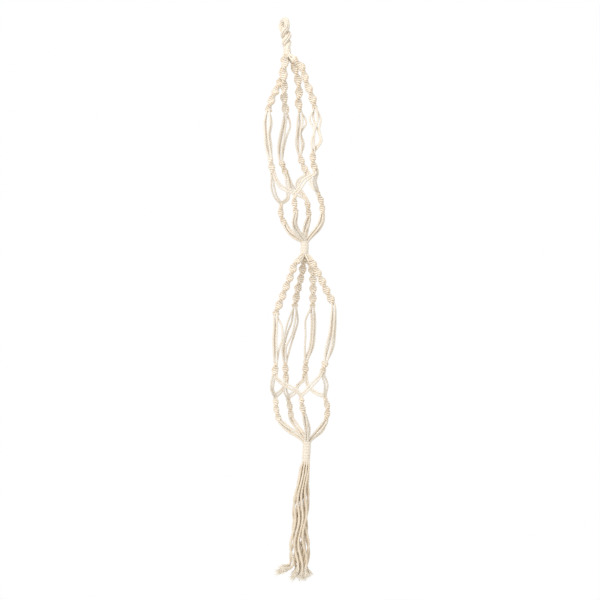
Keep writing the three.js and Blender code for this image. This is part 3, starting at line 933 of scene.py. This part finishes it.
def addCradle(tierName, side, cradle, cradles, armEnds, tierBody, hinge, settings):
    label = f"{tierName}_{side}"
    line = curveThrough(cradle["route"])
    down = unit(line[4] - line[0])
    strands = []
    for arm, middles in cradle["comesFrom"].items():
        other = next(c for name, c in cradles.items() if name != side and arm in c["comesFrom"])
        knotTop = np.vstack([line[0] - settings["knotLead"] * down,
                             line[0] + settings["overlap"] * down])
        route = pairRoute(armEnds[arm], np.array(middles[0]),
                          np.array(other["comesFrom"][arm][0]),
                          np.array(middles), knotTop, settings)
        swirl = random.uniform(-settings["pairSwirl"], settings["pairSwirl"])
        strands += bundle(route, 2, levelAcross(route), swirl, settings["pairSpread"])
    buildPiece(f"{label}_crossing_strands", strands, strandCotton, tierBody,
               [f"{label}_cross_strands"])
    buildPiece(f"{label}_cradle_spiral",
               spiralKnots(line, cradleKnotSettings, random.uniform(0, math.pi)),
               knotCotton, tierBody, [f"{label}_cradle_sinnet"])
    inside = line[-int(settings["overlap"] * 1000)]  # the line has a point each millimetre
    root = hinge + settings["tailRootShare"] * (np.array(cradle["tail"][-1]) - hinge)
    route = curveThrough(np.vstack([inside, line[-1], cradle["tail"], root]))
    swirl = random.uniform(-settings["tailSwirl"], settings["tailSwirl"])
    tail = buildPiece(f"{label}_tail_strands",
                      bundle(route, 4, levelAcross(route), swirl, settings["tailSpread"],
                             wobble=0.001),
                      strandCotton)
    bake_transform(tail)


# wraps: a cord in close turns round the gripped strands
wrapSettings = {
    "cord": 0.0019,
    "spacing": 0.86,  # distance between turns against the cord's width
    "tuck": 0.35,  # part of a turn at each end that dives under the others
    "waist": 0.06,
    "core": 0.0034,
    "coreShare": 0.66,  # the core strands stop above the swinging strands' roots
    "coreStrands": 6,
    # painted shade on the core strands hidden inside the coil
    "coreShade": 0.4,
    "samples": 46,  # for each turn
    "step": 0.0012,
}


def wrapCoil(top, bottom, radius, settings):
    # helix: the angle grows evenly along the axis; the radius falls by the fourth power of the
    # distance from the middle, and by half again where the ends are tucked in
    top, bottom = np.array(top), np.array(bottom)
    axis = bottom - top
    length = np.linalg.norm(axis)
    axis = axis / length
    side = unit(np.cross(axis, [0.0, 1.0, 0.0]))
    other = np.cross(axis, side)
    turns = (length - 2 * settings["cord"]) / (2 * settings["cord"] * settings["spacing"])
    t = np.linspace(-settings["tuck"], turns + settings["tuck"],
                    int(turns * settings["samples"]))
    level = np.clip(t, 0, turns) / turns
    angle = 2 * math.pi * t
    past = np.maximum(-t, t - turns).clip(0) / settings["tuck"]
    waist = 1 - settings["waist"] * (2 * level - 1) ** 4
    wide = (radius - settings["cord"]) * waist * (1 - 0.5 * past)
    centre = top + (settings["cord"] + level * (length - 2 * settings["cord"]))[:, None] * axis
    out = np.cos(angle)[:, None] * side + np.sin(angle)[:, None] * other
    strands = [twistedCord(centre + wide[:, None] * out, out, radius=settings["cord"],
                           step=settings["step"])]
    down = np.linspace(0, 1, 20)[:, None] * axis
    straight = down * settings["coreShare"] * length + top + 0.002 * axis
    # painted shade on the hidden core strands
    paintedShade = np.full(len(down), settings["coreShade"])
    for k in range(settings["coreStrands"]):
        turn = 2 * math.pi * k / settings["coreStrands"]
        place = settings["core"] * (math.cos(turn) * side + math.sin(turn) * other)
        strands.append(twistedCord(straight + place, side, phase=k, shade=paintedShade))
    return strands


# each wrap's top, bottom and radius
wrapPlaces = {
    "top_wrap": ((0.0022, 0, -0.05), (0.0032, 0, -0.069), 0.008),
    "middle_wrap": ((0.0202, 0, -0.466), (0.0176, 0, -0.496), 0.009),
    "bottom_wrap": ((0.004, 0, -0.892), (-0.0012, 0, -0.936), 0.009),
}
for name, (top, bottom, radius) in wrapPlaces.items():
    buildPiece(f"{name}_coil", wrapCoil(top, bottom, radius, wrapSettings), wrapCotton, name,
               [name])
print("wraps made")

# hanging loop: eight cords side by side round the eye, the two legs twisted together
loopSettings = {
    "eyeTurn": math.radians(-60),
    "legTwist": math.pi / 0.019,  # half a turn of the legs in this much height
    "legTop": -0.014,
    "legBottom": -0.058,
    "legPoints": 16,
    "legSpreadAt": (-0.058, -0.05, -0.044, -0.022, -0.014),
    "legSpread": (0.0026, 0.0034, 0.005, 0.0052, 0.008),
    "centreAt": (-0.058, -0.03, -0.02, -0.014),
    "centreX": (0.0026, 0.0024, 0.0008, -0.0008),
    "eyeOutline": ((0.0125, -0.007), (0.0092, 0.0018), (0.0, 0.0056),
                   (-0.0092, 0.0018), (-0.0125, -0.007)),
    "eyeLean": 0.0012,  # how far the eye's two feet lean aside
    "strand": 0.002,
    "strandsRound": 7,  # the eighth strand runs down the middle
    "ring": 0.00345,
    "swirl": 2 * math.pi / 0.14,
    "blendStart": (0.0024, 0, -0.04),
    "tightAt": (0, 0.1, 0.2, 0.32, 0.4, 0.6, 0.68, 0.8, 0.9, 1),
    "tight": (0.7, 1.15, 1.4, 1.3, 1.12, 1.12, 1.3, 1.4, 1.15, 0.7),
}


def loopRoute(settings):
    # each leg is a helix about the neck's line; the eye is a smooth bow between their tops
    height = np.linspace(settings["legBottom"], settings["legTop"], settings["legPoints"])
    spread = np.interp(height, settings["legSpreadAt"], settings["legSpread"])
    centreX = np.interp(height, settings["centreAt"], settings["centreX"])
    turn = settings["eyeTurn"] - settings["legTwist"] * (settings["legTop"] - height)
    leg = np.column_stack([spread * np.cos(turn), spread * np.sin(turn), height])
    otherLeg = leg * np.array([-1, -1, 1])
    leg[:, 0] += centreX
    otherLeg[:, 0] += centreX
    wide, level = np.array(settings["eyeOutline"]).T
    eye = np.column_stack([
        wide * math.cos(settings["eyeTurn"]) - settings["eyeLean"] * (level < 0),
        wide * math.sin(settings["eyeTurn"]),
        level,
    ])
    return curveThrough(np.vstack([leg, eye, otherLeg[::-1]]))


def loopStrands(settings):
    line = loopRoute(settings)
    planeNormal = (math.sin(settings["eyeTurn"]), -math.cos(settings["eyeTurn"]), 0)
    side, other = across(line, planeNormal)
    reach = alongLength(line)
    share = reach / reach[-1]
    tight = np.interp(share, settings["tightAt"], settings["tight"])
    strands = []
    strandsRound = settings["strandsRound"]
    for k in range(strandsRound + 1):
        ring = settings["ring"] if k < strandsRound else 0
        turn = 2 * math.pi * k / strandsRound + settings["swirl"] * reach
        out = np.cos(turn)[:, None] * side + np.sin(turn)[:, None] * other
        strands.append(twistedCord(line + ring * tight[:, None] * out, planeNormal,
                                   radius=settings["strand"], phase=k))
    return strands


joints = frame["record"]["behaviour"]["joints"]
jointPlaces = {joint["name"]: np.array(joint["pos_m"]) for joint in joints}
loopPiece = buildPiece("hanging_loop_strands", loopStrands(loopSettings), strandCotton, None,
                       ["hanging_loop"])
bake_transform(loopPiece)
print("loop made")


def addTier(tierName, arms, cradles, knots, topHinge, bottomHinge):
    tierBody = f"{tierName}_tier"
    armEnds = {}
    for side, arm in arms.items():
        armEnds[side] = addArm(tierName, side, arm, tierBody, topHinge, knots,
                               armSettings)
    for side, cradle in cradles.items():
        addCradle(tierName, side, cradle, cradles, armEnds, tierBody, bottomHinge,
                  armSettings)
    print(tierName, "tier made")


addTier("upper", upperArms, upperCradles, knotSettings,
        jointPlaces["top_front_swing"],
        jointPlaces["middle_side_swing"])
addTier("lower", lowerArms, lowerCradles, lowerKnotSettings,
        jointPlaces["middle_front_swing"],
        jointPlaces["tassel_side_swing"])

# stage: pale floor well below the object, white surroundings and soft light from the upper left
stageSettings = {
    "floorDrop": 0.22,
    "floorRadius": 0.9,
    "floorSides": 64,
    "floorColour": (0.9, 0.9, 0.89, 1),
    "floorRoughness": 0.8,
    "world": 0.8,
    "softKey": {"place": (-1.2, -2.5, 1.3), "size": 2.2, "energy": 56},
    "softBack": {"place": (1.6, 2.0, 0.6), "size": 1.5, "energy": 14},
}


def addFloor(settings):
    turn = np.linspace(0, 2 * math.pi, settings["floorSides"], endpoint=False)
    rim = np.column_stack([np.cos(turn), np.sin(turn), turn]) * settings["floorRadius"]
    rim[:, 2] = cadBox[0][2] - settings["floorDrop"]
    mesh = bpy.data.meshes.new("floor")
    mesh.from_pydata(rim.tolist(), [], [list(range(len(rim)))])
    material = bpy.data.materials.new("paleFloor")
    material.use_nodes = True
    shader = material.node_tree.nodes["Principled BSDF"]
    shader.inputs["Base Color"].default_value = settings["floorColour"]
    shader.inputs["Roughness"].default_value = settings["floorRoughness"]
    mesh.materials.append(material)
    floor = bpy.data.objects.new("floor", mesh)
    scene.collection.objects.link(floor)


def addSurroundings(settings):
    # even light on the object, and plain white where the camera sees past it
    world = bpy.data.worlds.new("surroundings")
    scene.world = world
    world.use_nodes = True
    nodes, links = world.node_tree.nodes, world.node_tree.links
    lit = nodes["Background"]
    lit.inputs["Color"].default_value = (1, 1, 1, 1)
    lit.inputs["Strength"].default_value = settings["world"]
    seen = nodes.new("ShaderNodeBackground")
    seen.inputs["Color"].default_value = (1, 1, 1, 1)
    seen.inputs["Strength"].default_value = 1.0
    rays = nodes.new("ShaderNodeLightPath")
    choice = nodes.new("ShaderNodeMixShader")
    links.new(rays.outputs["Is Camera Ray"], choice.inputs["Fac"])
    links.new(lit.outputs["Background"], choice.inputs[1])
    links.new(seen.outputs["Background"], choice.inputs[2])
    links.new(choice.outputs["Shader"], nodes["World Output"].inputs["Surface"])


def addSoftLight(name, settings):
    data = bpy.data.lights.new(name, "AREA")
    data.shape = "DISK"
    data.size = settings["size"]
    data.energy = settings["energy"]
    light = bpy.data.objects.new(name, data)
    scene.collection.objects.link(light)
    aim = Vector(cameraSettings["aim"]) - Vector(settings["place"])
    light.rotation_euler = aim.to_track_quat("-Z", "Y").to_euler()
    light.location = settings["place"]


addFloor(stageSettings)
addSurroundings(stageSettings)
for name in ("softKey", "softBack"):
    addSoftLight(name, stageSettings[name])
scene.view_settings.view_transform = "Standard"
print("stage set")
